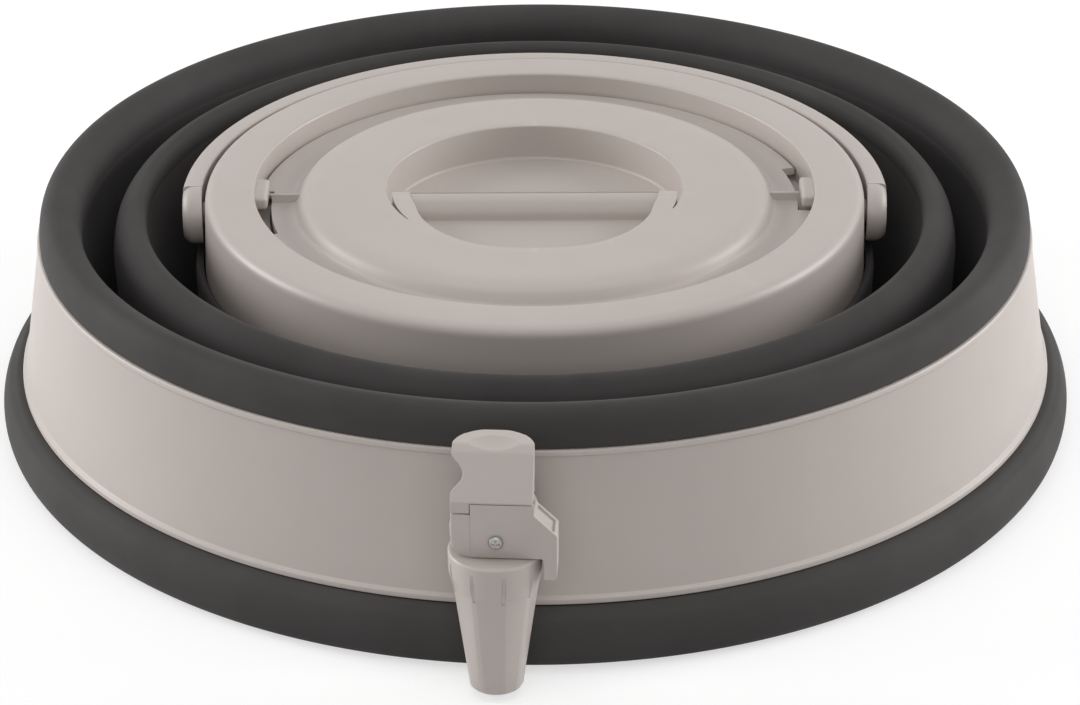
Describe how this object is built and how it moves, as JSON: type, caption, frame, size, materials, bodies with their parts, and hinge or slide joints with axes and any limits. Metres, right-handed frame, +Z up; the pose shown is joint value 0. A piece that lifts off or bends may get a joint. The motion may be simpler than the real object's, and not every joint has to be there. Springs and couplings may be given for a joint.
{
  "type": "collapsible water carrier",
  "caption": "Round collapsible water carrier stored flat, with soft bellows, hard band and collar, turn lid, carrying handle and push tap.",
  "frame": {"origin": "centre of the foot's flat underside, on the axis of the rings", "axes": "+Z up along the axis of the rings, -Y towards the tap, +X to the right seen from the tap"},
  "size_m": [0.3092, 0.3291, 0.0692],
  "materials": {
    "shell_plastic": "satin moulded plastic, warm light grey",
    "soft_wall": "matte soft moulding, dark charcoal",
    "seal_rubber": "matte black",
    "steel": "bright"
  },
  "bodies": {
    "base": {"base_foot_and_floor": "soft_wall", "band": "shell_plastic", "bellows_outer_rim": "soft_wall", "bellows_outer_fold": "soft_wall", "tap_body": "shell_plastic", "tap_seal_outer": "seal_rubber", "tap_washer_inner": "seal_rubber", "tap_nut": "shell_plastic", "tap_spout": "shell_plastic", "tap_cover": "shell_plastic", "tap_screw": "steel", "tap_lever_pin": "steel"},
    "middle_ring": {"bellows_middle_ring": "soft_wall", "bellows_inner_fold": "soft_wall"},
    "collar": {"collar": "shell_plastic", "bellows_neck": "soft_wall"},
    "handle": {"handle": "shell_plastic"},
    "lid_seal": {"lid_seal": "seal_rubber"},
    "lid": {"lid": "shell_plastic"},
    "tap_lever": {"tap_lever": "shell_plastic"},
    "tap_valve": {"tap_valve_stem": "shell_plastic", "tap_valve_seal": "seal_rubber"}
  },
  "joints": [
    {"name": "outer_fold_rise", "type": "slide", "parent": "base", "child": "middle_ring", "axis": [0, 0, 1], "range_m": [0, 0.0914], "deforming": ["bellows_outer_fold"]},
    {"name": "inner_fold_rise", "type": "slide", "parent": "middle_ring", "child": "collar", "axis": [0, 0, 1], "range_m": [0, 0.0914], "deforming": ["bellows_inner_fold"]},
    {"name": "handle_swing", "type": "hinge", "parent": "collar", "child": "handle", "pos_m": [0, 0, 0.0572], "axis": [1, 0, 0], "range_deg": [0, 180]},
    {"name": "lid_lift", "type": "slide", "parent": "collar", "child": "lid_seal", "axis": [0, 0, 1], "range_m": [0, 0.06]},
    {"name": "lid_turn", "type": "hinge", "parent": "lid_seal", "child": "lid", "pos_m": [0, 0, 0.0586], "axis": [0, 0, 1], "range_deg": [-45, 0]},
    {"name": "tap_lever_press", "type": "hinge", "parent": "base", "child": "tap_lever", "pos_m": [-0.01027, -0.16548, 0.052], "axis": [-0.9981, 0.0619, 0], "range_deg": [0, 20], "stiffness_Nm_per_rad": 0.12},
    {"name": "tap_valve_move", "type": "slide", "parent": "base", "child": "tap_valve", "axis": [0, 0, -1], "range_m": [0, 0.00098]}
  ],
  "couplings": [
    {"joint": "tap_valve_move", "follows": "tap_lever_press", "m_per_rad": 0.0028}
  ]
}
